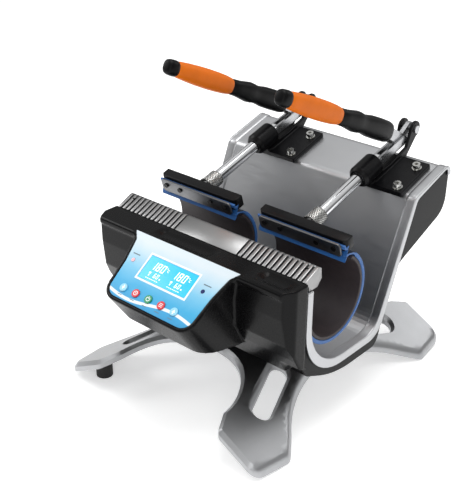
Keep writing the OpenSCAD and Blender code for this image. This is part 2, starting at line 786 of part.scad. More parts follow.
base_plate();
rubber_feet();
foot_screws();
base_bolts();
case_tray();
cheek(-1);  // left_cheek
cheek(1);  // right_cheek
body_cover();
trim(-1);  // left_trim
trim(1);  // right_trim
front_housing();
panel_overlay();
lcd_screen();
key_down();
key_timer();
key_power();
key_set();
key_up();
heat_led();
power_led();
control_board();
front_rail();
rail_screws();
power_inlet();
rocker_frame();
power_rocker();
lining(-1);  // left_lining
lining(1);  // right_lining
jacket(-1);  // left_jacket
jacket(1);  // right_jacket
bracket(-1);  // left_bracket
bracket(1);  // right_bracket
bracket_washers();
bracket_bolts();
pivot_pins();
plunger(-1);  // left_plunger
plunger(1);  // right_plunger
collar(-1);  // left_collar
collar(1);  // right_collar
bar(-1);  // left_bar
bar(1);  // right_bar
clamp_plate(-1);  // left_clamp_plate
clamp_plate(1);  // right_clamp_plate
plate_screws(-1);  // left_plate_screws
plate_screws(1);  // right_plate_screws
heat_tongue(-1);  // left_tongue
heat_tongue(1);  // right_tongue
links(-1);  // left_links
links(1);  // right_links
lever(-1);  // left_lever
lever(1);  // right_lever
grip(-1);  // left_grip
grip(1);  // right_grip
grip_sleeve(-1);  // left_grip_sleeve
grip_sleeve(1);  // right_grip_sleeve
bumper(-1);  // left_bumper
bumper(1);  // right_bumper
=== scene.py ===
"""Two-station mug heat press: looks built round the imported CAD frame. Lengths in metres."""
import json
import math
import bmesh
import bpy
from mathutils import Matrix, Vector
from mathutils.geometry import delaunay_2d_cdt
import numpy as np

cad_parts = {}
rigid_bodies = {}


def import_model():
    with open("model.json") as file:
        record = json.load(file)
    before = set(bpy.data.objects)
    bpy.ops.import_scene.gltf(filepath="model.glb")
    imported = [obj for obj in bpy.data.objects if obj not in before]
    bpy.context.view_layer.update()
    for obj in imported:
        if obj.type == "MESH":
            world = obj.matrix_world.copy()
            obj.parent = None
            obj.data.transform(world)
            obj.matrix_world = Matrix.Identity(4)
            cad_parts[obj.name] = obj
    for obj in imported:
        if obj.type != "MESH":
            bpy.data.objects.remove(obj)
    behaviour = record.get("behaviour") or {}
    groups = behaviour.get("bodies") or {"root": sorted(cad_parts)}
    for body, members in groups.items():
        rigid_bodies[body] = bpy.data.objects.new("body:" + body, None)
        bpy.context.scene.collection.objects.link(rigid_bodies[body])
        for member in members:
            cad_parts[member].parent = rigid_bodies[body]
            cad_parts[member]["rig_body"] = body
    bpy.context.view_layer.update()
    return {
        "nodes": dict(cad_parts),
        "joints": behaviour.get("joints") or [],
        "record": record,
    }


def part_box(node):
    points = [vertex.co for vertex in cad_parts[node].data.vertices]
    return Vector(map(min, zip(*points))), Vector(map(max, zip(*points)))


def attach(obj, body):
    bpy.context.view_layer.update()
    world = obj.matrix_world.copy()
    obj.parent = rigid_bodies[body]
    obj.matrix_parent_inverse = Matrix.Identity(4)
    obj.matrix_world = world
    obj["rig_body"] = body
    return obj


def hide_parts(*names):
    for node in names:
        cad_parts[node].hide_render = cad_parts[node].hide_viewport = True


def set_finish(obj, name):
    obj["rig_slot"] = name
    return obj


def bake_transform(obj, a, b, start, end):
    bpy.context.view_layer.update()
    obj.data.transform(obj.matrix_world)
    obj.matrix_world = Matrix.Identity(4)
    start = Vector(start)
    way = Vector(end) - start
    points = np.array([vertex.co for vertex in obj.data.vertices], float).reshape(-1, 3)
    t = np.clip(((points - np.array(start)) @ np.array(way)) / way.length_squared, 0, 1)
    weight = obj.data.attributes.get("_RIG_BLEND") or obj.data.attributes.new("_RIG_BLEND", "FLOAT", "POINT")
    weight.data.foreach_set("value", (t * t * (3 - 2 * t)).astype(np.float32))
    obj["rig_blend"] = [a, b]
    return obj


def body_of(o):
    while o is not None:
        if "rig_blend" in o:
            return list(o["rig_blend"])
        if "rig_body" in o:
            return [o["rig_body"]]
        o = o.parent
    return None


MM = 0.001
# sizes that the visible pieces share with the frame, in mm
HALF_BODY = 137.0        # half width over the end trims
TRIM_INNER = 134.0       # inner face of an end trim
STATION = 75.0           # a mug's centre from the middle
HALF_HEATER = 58.0       # half length of a heater and of a pressure bar
BASE_HALF_X, BASE_HALF_Y, BASE_THICK = 150.0, 178.0, 10.0
LEG_SLOPE = math.tan(math.radians(28))
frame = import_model()
BODY = "press"
RECORD_SLOTS = {m["slot"] for m in frame["record"]["materials"]}


# ---------------------------------------------------------------- colours and shader nodes
def colour(text, value=1.0):
    """sRGB hex text to a linear colour."""
    out = []
    for i in (0, 2, 4):
        c = int(text[i:i + 2], 16) / 255
        out.append((c / 12.92 if c <= 0.04045 else ((c + 0.055) / 1.055) ** 2.4) * value)
    return (*out, 1.0)


def add(tree, kind, inputs=None, **settings):
    """One shader node with its settings; an input is a value or another node's socket."""
    made = tree.nodes.new("ShaderNode" + kind)
    for key, value in settings.items():
        setattr(made, key, value)
    for key, value in (inputs or {}).items():
        if isinstance(value, bpy.types.NodeSocket):
            tree.links.new(value, made.inputs[key])
        else:
            made.inputs[key].default_value = value
    return made


def ramp(tree, source, stops):
    """A colour ramp; a stop is (place, grey value or colour)."""
    made = add(tree, "ValToRGB", {"Fac": source})
    while len(made.color_ramp.elements) < len(stops):
        made.color_ramp.elements.new(0.5)
    for element, (at, value) in zip(made.color_ramp.elements, stops):
        element.position = at
        element.color = value if isinstance(value, tuple) else (value, value, value, 1)
    return made.outputs["Color"]


def maths(tree, operation, *values):
    """The result of one sum, product or other operation."""
    return add(tree, "Math", dict(enumerate(values)), operation=operation).outputs[0]


def new_material(name):
    """An empty finish: its shader, and the object coordinates that the patterns are laid out in."""
    material = bpy.data.materials.new(name)
    material.use_nodes = True
    tree = material.node_tree
    tree.nodes.clear()
    shader = add(tree, "BsdfPrincipled")
    out = add(tree, "OutputMaterial", {"Surface": shader.outputs[0]})
    place = add(tree, "TexCoord").outputs["Object"]
    return material, tree, shader, place


def surface(name, base, metallic=0.0, roughness=0.5, ior=1.5, tone=0.06, rough_spread=0.08, cloud=0.03,
            grain=0.0006, relief=0.00002, stretch=(1, 1, 1), coat=0.0, coat_roughness=0.1, specular=0.5,
            dust=0.0, wear=0.0, sheen=0.0):
    """A real finish: soft clouds of tone, grain in relief, roughness that varies, settled dust.
    cloud and grain are the sizes of the patterns in metres."""
    material, tree, shader, place = new_material(name)
    shape = add(tree, "Mapping", {"Vector": place, "Scale": stretch}).outputs[0]
    clouds = add(tree, "TexNoise", {"Vector": place, "Scale": 1 / cloud, "Detail": 4.0,
                                    "Roughness": 0.6}).outputs["Fac"]
    fine = add(tree, "TexNoise", {"Vector": shape, "Scale": 1 / grain, "Detail": 3.0,
                                  "Roughness": 0.65}).outputs["Fac"]
    dark = tuple(c * (1 - tone) for c in base[:3]) + (1,)
    light = tuple(min(1, c * (1 + tone)) for c in base[:3]) + (1,)
    mixed = ramp(tree, clouds, [(0.3, dark), (0.7, light)])
    rough = add(tree, "MapRange", {"Value": fine, "From Min": 0.3, "From Max": 0.7,
                                   "To Min": max(0.02, roughness - rough_spread),
                                   "To Max": min(1.0, roughness + rough_spread)}).outputs[0]
    if wear:
        scratch = add(tree, "TexNoise", {"Vector": shape, "Scale": 0.25 / grain, "Detail": 6.0,
                                         "Roughness": 0.75}).outputs["Fac"]
        worn = add(tree, "MapRange", {"Value": scratch, "From Min": 0.62, "From Max": 0.72, "To Min": 0.0,
                                      "To Max": wear}).outputs[0]
        bare = tuple(min(1, c * 1.5 + 0.03) for c in base[:3]) + (1,)
        mixed = add(tree, "MixRGB", {"Fac": worn, "Color1": mixed, "Color2": bare}).outputs[0]
        rough = maths(tree, "ADD", rough, maths(tree, "MULTIPLY", worn, 0.2))
    if dust:
        up = add(tree, "SeparateXYZ", {"Vector": add(tree, "NewGeometry").outputs["Normal"]}).outputs["Z"]
        lying = maths(tree, "MULTIPLY", add(tree, "MapRange", {"Value": up, "From Min": 0.5,
                                                               "From Max": 1.0}).outputs[0],
                      maths(tree, "MULTIPLY", clouds, dust))
        mixed = add(tree, "MixRGB", {"Fac": lying, "Color1": mixed, "Color2": colour("b9b4ab")}).outputs[0]
        rough = maths(tree, "ADD", rough, maths(tree, "MULTIPLY", lying, 0.6))
    tree.links.new(mixed, shader.inputs["Base Color"])
    tree.links.new(rough, shader.inputs["Roughness"])
    bump = add(tree, "Bump", {"Height": fine, "Distance": relief, "Strength": 1.0})
    tree.links.new(bump.outputs[0], shader.inputs["Normal"])
    for socket, value in (("Metallic", metallic), ("IOR", ior), ("Specular IOR Level", specular),
                          ("Coat Weight", coat), ("Coat Roughness", coat_roughness), ("Sheen Weight", sheen)):
        shader.inputs[socket].default_value = value
    return material


def knurled():
    """Steel cut in a fine diamond pattern, in the collar's own frame: Y along the axis."""
    material, tree, shader, place = new_material("knurled_steel")
    x, y, z = add(tree, "SeparateXYZ", {"Vector": place}).outputs
    turn = maths(tree, "MULTIPLY", maths(tree, "ARCTAN2", x, z), 22.0)
    along = maths(tree, "MULTIPLY", y, 2 * math.pi / 0.0027)
    cut = maths(tree, "MAXIMUM", maths(tree, "SINE", maths(tree, "ADD", turn, along)),
                maths(tree, "SINE", maths(tree, "SUBTRACT", turn, along)))
    tree.links.new(add(tree, "Bump", {"Height": cut, "Distance": 0.00016}).outputs[0], shader.inputs["Normal"])
    # painted shade and painted highlight: the base colour is darkened in the knurl's grooves and lightened on
    # its ridges
    tone = add(tree, "MapRange", {"Value": cut, "From Min": 0.2, "From Max": 1.0}).outputs[0]
    tree.links.new(ramp(tree, tone, [(0.0, colour("262626")), (0.5, colour("8e8e8c")),
                                     (1.0, colour("e2e2df"))]), shader.inputs["Base Color"])
    tree.links.new(add(tree, "MapRange", {"Value": tone, "To Min": 0.5, "To Max": 0.22}).outputs[0],
                   shader.inputs["Roughness"])
    shader.inputs["Metallic"].default_value = 1.0
    return material


def glowing(name, text, strength, rough=0.3):
    """A lit or printed colour, faintly mottled."""
    material, tree, shader, place = new_material(name)
    spots = add(tree, "TexNoise", {"Vector": place, "Scale": 900.0, "Detail": 2.0}).outputs["Fac"]
    tone = ramp(tree, spots, [(0.3, colour(text, 0.92)), (0.7, colour(text))])
    tree.links.new(tone, shader.inputs["Base Color"])
    tree.links.new(tone, shader.inputs["Emission Color"])
    tree.links.new(add(tree, "MapRange", {"Value": spots, "To Min": rough - 0.05,
                                          "To Max": rough + 0.05}).outputs[0], shader.inputs["Roughness"])
    shader.inputs["Emission Strength"].default_value = strength
    return material


MATERIALS = {
    # bent steel sheet, brushed across its width: long streaks that spread the light up and down the slope
    "brushed_cover": surface("brushed_cover_steel", colour("bcbdbf"), 1.0, 0.37, tone=0.05,
                             rough_spread=0.07, cloud=0.12, grain=0.0005, relief=0.000006,
                             stretch=(0.02, 1, 1), wear=0.05),
    # cast and blasted aluminium, lacquered
    "cast_plate": surface("cast_aluminium_satin", colour("adaeb0"), 1.0, 0.4, tone=0.06, rough_spread=0.08,
                          cloud=0.06, grain=0.0004, relief=0.000012, coat=0.15, coat_roughness=0.25,
                          wear=0.04),
    "black_case": surface("black_moulded_case", colour("09090a"), 0.0, 0.4, tone=0.15, grain=0.0005,
                          relief=0.00002, specular=0.14),
    "black_gloss": surface("black_glossy_housing", colour("050506"), 0.0, 0.26, tone=0.15,
                           rough_spread=0.04, grain=0.0012, relief=0.000012, coat=0.04, coat_roughness=0.1,
                           specular=0.12),
    "window": glowing("lit_display", "22b4ea", 0.35, 0.15),
    "digits": glowing("lit_digits", "e9f8fd", 0.6),
    "print_white": glowing("printed_white", "f4f8fa", 0.0, 0.4),
    "print_grey": glowing("printed_grey", "5f7480", 0.0, 0.4),
    "key_blue": surface("key_pale_blue", colour("8fd0ea"), 0.0, 0.35, tone=0.05, cloud=0.004),
    "key_red": surface("key_red", colour("d6222c"), 0.0, 0.35, tone=0.05, cloud=0.004),
    "key_green": surface("key_green", colour("0f8f5a"), 0.0, 0.35, tone=0.05, cloud=0.004),
    "lamp": surface("lamp_lens", colour("eba9b2"), 0.0, 0.15, tone=0.05, cloud=0.003),
    "lamp_blue": surface("lamp_lens_dark_blue", colour("14205c"), 0.0, 0.12, tone=0.1, cloud=0.003),
    "board": surface("circuit_board", colour("12603a"), 0.0, 0.4, tone=0.1, cloud=0.01),
    "rail_metal": surface("rail_extruded_aluminium", colour("9c9c9c"), 1.0, 0.36, tone=0.05,
                          rough_spread=0.08, cloud=0.03, grain=0.0004, relief=0.000008,
                          stretch=(0.05, 1, 1), wear=0.06),
    "dark_steel": surface("dark_satin_steel", colour("6f7072"), 1.0, 0.36, tone=0.08, rough_spread=0.08,
                          cloud=0.02, grain=0.0005, relief=0.00001, stretch=(0.1, 1, 1), wear=0.05),
    "dark_screw": surface("black_oxide_screw", colour("1d1d1f"), 0.8, 0.4, cloud=0.002, wear=0.15),
    "bright_screw": surface("plated_screw", colour("c9c9c6"), 1.0, 0.22, cloud=0.004, wear=0.05),
    "silicone_blue": surface("blue_silicone_jacket", colour("1c5a9c"), 0.0, 0.5, tone=0.1, rough_spread=0.1,
                             cloud=0.015, grain=0.0009, relief=0.00005, dust=0.05, sheen=0.1),
    # painted shade: a dark blue-black stand-in for the shade on the outward faces of the heater's jacket at the
    # back
    "jacket_painted_shade": surface("heater_back_painted_shade", colour("142338"), 0.0, 0.6, tone=0.1, cloud=0.015,
                           grain=0.0009, relief=0.00005, specular=0.3),
    "lining_dark": surface("dark_heat_lining", colour("30282a"), 0.0, 0.6, tone=0.15, cloud=0.01,
                           grain=0.0007, relief=0.00005),
    "cast_black": surface("black_powder_coated_casting", colour("08080a"), 0.0, 0.34, tone=0.2,
                          rough_spread=0.1, cloud=0.01, grain=0.0006, relief=0.00004, specular=0.16,
                          wear=0.03),
    "chrome_rod": surface("hard_chrome_rod", colour("e6e7e9"), 1.0, 0.06, tone=0.02, rough_spread=0.03,
                          cloud=0.02, grain=0.0003, relief=0.000001, stretch=(1, 1, 1)),
    "knurl": knurled(),
    "zinc_steel": surface("zinc_plated_steel", colour("b4b5b7"), 1.0, 0.27, tone=0.08, rough_spread=0.1,
                          cloud=0.012, grain=0.0006, relief=0.000012, wear=0.1),
    "grip_black": surface("black_grip_moulding", colour("060607"), 0.0, 0.4, tone=0.15, grain=0.0006,
                          relief=0.00003, specular=0.14),
    "grip_orange": surface("orange_soft_grip", colour("d86a04"), 0.0, 0.5, tone=0.06, specular=0.25,
                           rough_spread=0.08, cloud=0.02, grain=0.0007, relief=0.00004),
    "rubber_black": surface("black_rubber", colour("141414"), 0.0, 0.7, tone=0.15, grain=0.0008,
                            relief=0.00005, dust=0.1),
    "rocker_red": surface("red_rocker_switch", colour("b01018"), 0.0, 0.2, tone=0.05),
}


def printed_overlay():
    """Polyester film, white at the top and cyan below, with a white wave drawn through the keys."""
    material, tree, shader, place = new_material("printed_panel_film")
    low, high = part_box("panel_overlay")
    parts = add(tree, "SeparateXYZ", {"Vector": place}).outputs
    down = add(tree, "MapRange", {"Value": parts["Z"], "From Min": low.z, "From Max": high.z}).outputs[0]
    mottled = add(tree, "TexNoise", {"Vector": place, "Scale": 45.0, "Detail": 3.0}).outputs["Fac"]
    shade = maths(tree, "ADD", down, maths(tree, "MULTIPLY", maths(tree, "SUBTRACT", mottled, 0.5), 0.12))
    base = ramp(tree, shade, [(0.0, colour("0890c8")), (0.26, colour("2aa6d6")), (0.5, colour("74bfe0")),
                              (0.72, colour("b9d5e4")), (0.9, colour("d3dfe6"))])
    # the wave: z = middle + swing * sin(x), through the centres of the keys
    swing = maths(tree, "MULTIPLY", maths(tree, "SINE", maths(tree, "MULTIPLY", parts["X"], 52.0)), 0.0022)
    keys_low, keys_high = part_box("key_power")
    wave = maths(tree, "ADD", swing, (keys_low.z + keys_high.z) / 2)
    off = maths(tree, "ABSOLUTE", maths(tree, "SUBTRACT", parts["Z"], wave))
    line = add(tree, "MapRange", {"Value": off, "From Min": 0.0007, "From Max": 0.0012, "To Min": 0.95,
                                  "To Max": 0.0}).outputs[0]
    base = add(tree, "MixRGB", {"Fac": line, "Color1": base, "Color2": colour("f4fafc")}).outputs[0]
    tree.links.new(base, shader.inputs["Base Color"])
    fine = add(tree, "TexNoise", {"Vector": place, "Scale": 1500.0, "Detail": 2.0}).outputs["Fac"]
    tree.links.new(add(tree, "MapRange", {"Value": fine, "To Min": 0.3, "To Max": 0.45}).outputs[0],
                   shader.inputs["Roughness"])
    tree.links.new(add(tree, "Bump", {"Height": fine, "Distance": 0.00001}).outputs[0], shader.inputs["Normal"])
    return material


MATERIALS["overlay"] = printed_overlay()


# ---------------------------------------------------------------- shapes
def smooth(obj, angle=38):
    """Smooth shading, kept sharp where faces meet at more than an angle in degrees."""
    for face in obj.data.polygons:
        face.use_smooth = True
    obj.data.set_sharp_from_angle(angle=math.radians(angle))


def make(name, vertices, faces, slot, body=BODY, bevel=0.0, segments=3, angle=30, replaces=()):
    """A mesh in row-frame metres, edges rounded, riding on a body."""
    mesh = bpy.data.meshes.new(name)
    mesh.from_pydata([tuple(v) for v in vertices], [], faces)
    bm = bmesh.new()
    bm.from_mesh(mesh)
    bmesh.ops.remove_doubles(bm, verts=bm.verts, dist=1e-6)
    bmesh.ops.recalc_face_normals(bm, faces=bm.faces)
    if bevel:
        edges = [e for e in bm.edges if len(e.link_faces) == 2 and e.calc_face_angle(0) > math.radians(angle)]
        bmesh.ops.bevel(bm, geom=edges, offset=bevel, offset_type="OFFSET", segments=segments, profile=0.5,
                        affect="EDGES", clamp_overlap=True)
    bm.to_mesh(mesh)
    bm.free()
    obj = bpy.data.objects.new(name, mesh)
    bpy.context.scene.collection.objects.link(obj)
    finish_piece(obj, slot, body, replaces)
    smooth(obj)
    return obj


def finish_piece(obj, slot, body, replaces=()):
    """Material, material slot, body and the CAD nodes that a piece stands in for."""
    obj.data.materials.clear()
    obj.data.materials.append(MATERIALS[slot])
    if slot in RECORD_SLOTS:
        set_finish(obj, slot)
    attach(obj, body)
    if replaces:
        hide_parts(*replaces)


def slab(name, lower, upper, slot, **options):
    """Two matching outlines closed and joined by walls."""
    n = len(lower)
    faces = [list(range(n))[::-1], [n + i for i in range(n)]]
    faces += [[i, (i + 1) % n, n + (i + 1) % n, n + i] for i in range(n)]
    return make(name, lower + upper, faces, slot, **options)


def prism(name, outline, x0, x1, slot, place=Matrix(), **options):
    """An outline in a (y, z) plane drawn out along X, all in mm, then set in place."""
    ends = [[place @ (Vector((x, y, z)) * MM) for y, z in outline] for x in (x0, x1)]
    return slab(name, *ends, slot, **options)


# Places taken from the CAD: the mugs' axis, and each clamp's own frame (x, along, above)
ring_low, ring_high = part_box("right_lining")
AXIS_Y = (ring_low.y + ring_high.y) / 2
AXIS_Z = ring_low.z + (ring_high.y - ring_low.y) / 2
AT_AXIS = Matrix.Translation((0, AXIS_Y, AXIS_Z))
JOINT = {j["name"]: j for j in frame["joints"]}
TILT = math.atan2(JOINT["right_plunger_slide"]["axis"][2], JOINT["right_plunger_slide"]["axis"][1])


def clamp_place(side):
    """Where a clamp's own frame stands: origin at the pressure bar, Y along the plunger."""
    along = Vector(JOINT[side + "_plunger_slide"]["axis"])
    start = Vector(JOINT[side + "_plunger_slide"]["pos_m"]) - along * 60 * MM
    return Matrix.Translation(start) @ Matrix.Rotation(TILT, 4, "X")


# ---------------------------------------------------------------- CAD nodes shown as they are
SLOTS = {p["node"]: p["material_slot"] for p in frame["record"]["subparts"]}
for node_name, obj in frame["nodes"].items():
    obj.data.materials.clear()
    obj.data.materials.append(MATERIALS[SLOTS[node_name]])
    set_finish(obj, SLOTS[node_name])
    smooth(obj, 32)

frame["nodes"]["power_led"].data.materials[0] = MATERIALS["lamp_blue"]


# ---------------------------------------------------------------- curves shared with the CAD
def rounded(points, steps=8):
    """A polyline whose corners (x, y, radius) are turned into arcs; the ends stay sharp."""
    out = []
    for i, (x, y, r) in enumerate(points):
        if i in (0, len(points) - 1) or not r:
            out.append((x, y))
            continue
        q = Vector((x, y))
        e = (Vector(points[i - 1][:2]) - q).normalized()
        f = (Vector(points[i + 1][:2]) - q).normalized()
        half = math.acos(max(-1, min(1, e.dot(f)))) / 2
        m = q + (e + f).normalized() * (r / math.sin(half))
        a, b = q + e * (r / math.tan(half)) - m, q + f * (r / math.tan(half)) - m
        start, turn = math.atan2(a.y, a.x), math.atan2(b.y, b.x) - math.atan2(a.y, a.x)
        turn = (turn + math.pi) % (2 * math.pi) - math.pi
        out += [(m.x + r * math.cos(start + turn * k / steps), m.y + r * math.sin(start + turn * k / steps))
                for k in range(steps + 1)]
    return out


def shifted(path, d):
    """The polyline moved to its left by d, mitred."""
    out = []
    for i, p in enumerate(path):
        sides = []
        for a, b in ((max(i - 1, 0), max(i, 1)), (min(i, len(path) - 2), min(i + 1, len(path) - 1))):
            t = (Vector(path[b]) - Vector(path[a])).normalized()
            sides.append(Vector((-t.y, t.x)))
        m = (sides[0] + sides[1]).normalized()
        out.append(tuple(Vector(p) + m * (d / max(0.3, m.dot(sides[0])))))
    return out


def sweep(name, path, section, slot, thin=None, **options):
    """A section [(x, offset)] carried along a (y, z) path about the mug axis; each end is capped.
    thin gives the share of the section's thickness at each point of the path."""
    rails = [[Vector(p) + (Vector(q) - Vector(p)) * (thin[i] if thin else 1)
              for i, (p, q) in enumerate(zip(path, shifted(path, d)))] for x, d in section]
    n, m = len(section), len(path)
    vertices = [AT_AXIS @ (Vector((section[k][0], *rails[k][i])) * MM) for i in range(m) for k in range(n)]
    faces = [[i * n + k, i * n + (k + 1) % n, (i + 1) * n + (k + 1) % n, (i + 1) * n + k]
             for i in range(m - 1) for k in range(n)]
    faces += [list(range(n)), [(m - 1) * n + k for k in range(n)][::-1]]
    return make(name, vertices, faces, slot, **options)


def loft(name, sections, slot, place, **options):
    """Closed rings of equal count joined one after another and capped, given in mm in the frame of place."""
    n = len(sections[0])
    vertices = [place @ (Vector(p) * MM) for ring in sections for p in ring]
    faces = [[i * n + k, i * n + (k + 1) % n, (i + 1) * n + (k + 1) % n, (i + 1) * n + k]
             for i in range(len(sections) - 1) for k in range(n)]
    faces += [list(range(n)), [(len(sections) - 1) * n + k for k in range(n)][::-1]]
    return make(name, vertices, faces, slot, **options)


def cast(node, voxel, passes, push=None, slot=None):
    """A CAD node with softened edges, as a moulding or casting has: remeshed finely and relaxed."""
    body = body_of(frame["nodes"][node])[0]
    mesh = frame["nodes"][node].data.copy()
    obj = bpy.data.objects.new(node + "_moulded", mesh)
    bpy.context.scene.collection.objects.link(obj)
    remesh = obj.modifiers.new("even", "REMESH")
    remesh.mode = "VOXEL"
    remesh.voxel_size = voxel
    relax = obj.modifiers.new("soften", "SMOOTH")
    relax.factor = 0.5
    relax.iterations = passes
    made = bpy.data.meshes.new_from_object(obj.evaluated_get(bpy.context.evaluated_depsgraph_get()))
    obj.modifiers.clear()
    obj.data = made
    if push:
        for v in made.vertices:
            v.co = push(v.co)
    finish_piece(obj, slot or SLOTS[node], body, [node])
    smooth(obj, 60)
    return obj


# ---------------------------------------------------------------- base
def base_plate():
    """The four-legged plate: bevelled rim, wings bent down, a long slot in each leg."""
    low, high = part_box("base_plate")
    middle = (low.y + high.y) / 2 / MM
    top = high.z / MM
    half_x, half_y, thick = BASE_HALF_X, BASE_HALF_Y, BASE_THICK
    bend, near, slope = 66.0, 16.0, LEG_SLOPE      # the bend is an arc that reaches near to either side
    bay = half_y * 0.45
    side_r, side_c, side_a = 161.0, half_x + 104, math.radians(42)
    quarter = [(bay * math.sin(math.radians(i * 5.3)), half_y - 20 - bay * math.cos(math.radians(i * 5.3)))
               for i in range(17)]
    quarter += rounded([(bay, half_y - 23, 0), (bay + 12, half_y, 7), (half_x - 6, half_y, 13),
                        (half_x, half_y - 50, 12),
                        (side_c - side_r * math.cos(side_a), side_r * math.sin(side_a), 0)], 7)
    quarter += [(side_c - side_r * math.cos(side_a * (1 - i / 14)), side_r * math.sin(side_a * (1 - i / 14)))
                for i in range(1, 15)]
    rim = (quarter + [(x, -y) for x, y in quarter[-2::-1]] + [(-x, -y) for x, y in quarter[1:]]
           + [(-x, y) for x, y in quarter[-2:0:-1]])
    slot_in, slot_out, slot_r = (half_x - 72, half_y - 116), (half_x - 51, half_y - 62), 10.0
    loops = [rim]
    for sx in (1, -1):
        for sy in (1, -1):
            hole = []
            for (cx, cy), start in ((slot_out, -20), (slot_in, 160)):
                hole += [(sx * (cx + slot_r * math.cos(math.radians(start + a))),
                          sy * (cy + slot_r * math.sin(math.radians(start + a))))
                         for a in range(0, 181, 15)]
            loops.append(hole)

    def area(loop):
        return sum(a[0] * b[1] - b[0] * a[1] for a, b in zip(loop, loop[1:] + loop[:1])) / 2

    def inset(loop, d, outer):
        # the top edge of the chamfer lies in the metal: inwards on the rim, outwards on a hole
        if area(loop) < 0:
            loop = loop[::-1]
        ring = [loop[-1]] + loop + [loop[0]]
        moved = shifted(ring, d if outer else -d)[1:-1]
        return loop, moved

    def inside(p, loop):
        odd = False
        for (x0, y0), (x1, y1) in zip(loop, loop[1:] + loop[:1]):
            if (y0 > p[1]) != (y1 > p[1]) and p[0] < (x1 - x0) * (p[1] - y0) / (y1 - y0) + x0:
                odd = not odd
        return odd

    vertices, faces = [], []

    def height(x, z):
        """Height of the bent plate's surface, z above the flat plate's top."""
        fall = max(0.0, abs(x) - bend)
        if abs(abs(x) - bend) < near:
            fall = (abs(x) - bend + near) ** 2 / (4 * near)
        steep = min(1.0, max(0.0, (abs(x) - bend + near) / (2 * near))) * math.atan(slope)
        return top - fall * slope + z / math.cos(steep)

    def put(p, z):
        vertices.append(Vector((p[0], p[1] + middle, height(p[0], z))) * MM)
        return len(vertices) - 1

    chamfer, depth = 4.2, 4.4      # width and depth of the rim's chamfer
    step, clear = 6.0, 2.5         # spacing of the inner points, and how far they keep from an outline
    pairs = [inset(loop, chamfer, i == 0) for i, loop in enumerate(loops)]
    for level, z, choose in (("top", 0.0, 1), ("bottom", -thick, 0)):
        rings = [pair[choose] for pair in pairs]
        flat, edges = [], []
        for ring in rings:
            start = len(flat)
            flat += [Vector(p) for p in ring]
            edges += [(start + i, start + (i + 1) % len(ring)) for i in range(len(ring))]
        count = len(flat)
        for i in range(-25, 26):
            for j in range(-30, 31):
                p = (i * step, j * step)
                if inside(p, rings[0]) and not any(inside(p, r) for r in rings[1:]):
                    if min((Vector(p) - q).length for q in flat[:count]) > clear:
                        flat.append(Vector(p))
        verts, _, tris, *_ = delaunay_2d_cdt(flat, edges, [], 0, 1e-5)
        index = [put(v, z) for v in verts]
        for tri in tris:
            c = sum((verts[i] for i in tri), Vector((0, 0))) / 3
            if inside(c, rings[0]) and not any(inside(c, r) for r in rings[1:]):
                faces.append([index[i] for i in tri] if level == "top" else [index[i] for i in tri][::-1])
    for outline, raised in pairs:
        n = len(outline)
        levels = [[put(p, -thick) for p in outline], [put(p, -depth) for p in outline],
                  [put(p, 0.0) for p in raised]]
        for a, b in zip(levels, levels[1:]):
            faces += [[a[i], a[(i + 1) % n], b[(i + 1) % n], b[i]] for i in range(n)]
    return make("base_plate_cast", vertices, faces, "cast_plate", replaces=["base_plate"])


base_plate()


# ---------------------------------------------------------------- body
LINING, JACKET = (43.5, 47.1), (47.4, 51.8)
FRONT_Y, FLOOR_Z, TOE_Y = -53.3, -76.0, 77.0
DECK = math.radians(16.7)
CREASE = (136.58, 67.84)
DECK_END = (CREASE[0] + 71.5 * math.cos(DECK), CREASE[1] + 71.5 * math.sin(DECK))
ROLL = 14.0


def end_trims():
    """Bright frames round both ends of the trough, with a rounded lip over the cover's edge."""
    top = 28.7
    corners = shifted([(DECK_END[0] + 1, DECK_END[1] - ROLL), DECK_END, CREASE, (TOE_Y, FLOOR_Z),
                       (FRONT_Y + 7, FLOOR_Z), (FRONT_Y + 7, top)], -1.6)
    inner = rounded([(*p, r) for p, r in zip(corners, (0, 10.5, 9, 30, 60, 0))], 12)
    outer = rounded([(DECK_END[0] - 2.5, DECK_END[1] - ROLL, 0), (DECK_END[0] - 3, DECK_END[1] - 3, 6),
                     (CREASE[0] + 4, CREASE[1] - 3, 10), (TOE_Y + 6, FLOOR_Z - 8.5, 28),
                     (FRONT_Y, FLOOR_Z - 8.5, 66), (FRONT_Y, top, 0)], 12)
    lip = rounded([(DECK_END[0] + 0.9, DECK_END[1] - ROLL + 1, 0), (*DECK_END, 9), (*CREASE, 10),
                   (TOE_Y, FLOOR_Z, 32), (FRONT_Y, FLOOR_Z, 66), (FRONT_Y, top - 1, 0)], 14)
    for side, s in (("left", -1), ("right", 1)):
        plate = prism(side + "_trim_plate", inner + outer[::-1], s * TRIM_INNER, s * HALF_BODY, "brushed_cover",
                      AT_AXIS, bevel=0.0009)
        section = [(s * x, d) for x, d in ((125, -0.1), (126, -0.9), (127.4, -1.25), (134.4, -1.3),
                                           (134.4, -0.1))]
        join([plate, sweep(side + "_trim_lip", lip, section, "brushed_cover")], side + "_trim_frame",
             [side + "_trim"])


def join(bits, name, replaced=()):
    """Several pieces of one body and one finish made into one mesh."""
    bm = bmesh.new()
    for bit in bits:
        bm.from_mesh(bit.data)
    mesh = bpy.data.meshes.new(name)
    bm.to_mesh(mesh)
    bm.free()
    first = bits[0]
    kept, body = first["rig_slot"], body_of(first)[0]
    for bit in bits:
        bpy.data.objects.remove(bit)
    obj = bpy.data.objects.new(name, mesh)
    bpy.context.scene.collection.objects.link(obj)
    finish_piece(obj, kept, body, replaced)
    smooth(obj)
    return obj


end_trims()


# ---------------------------------------------------------------- front housing
PANEL_TILT = math.radians(35)
AT_PANEL = Matrix.Translation((0, AXIS_Y - 0.084, AXIS_Z + 0.0406)) @ Matrix.Rotation(PANEL_TILT, 4, "X")
INTO_PANEL = AT_PANEL.inverted()


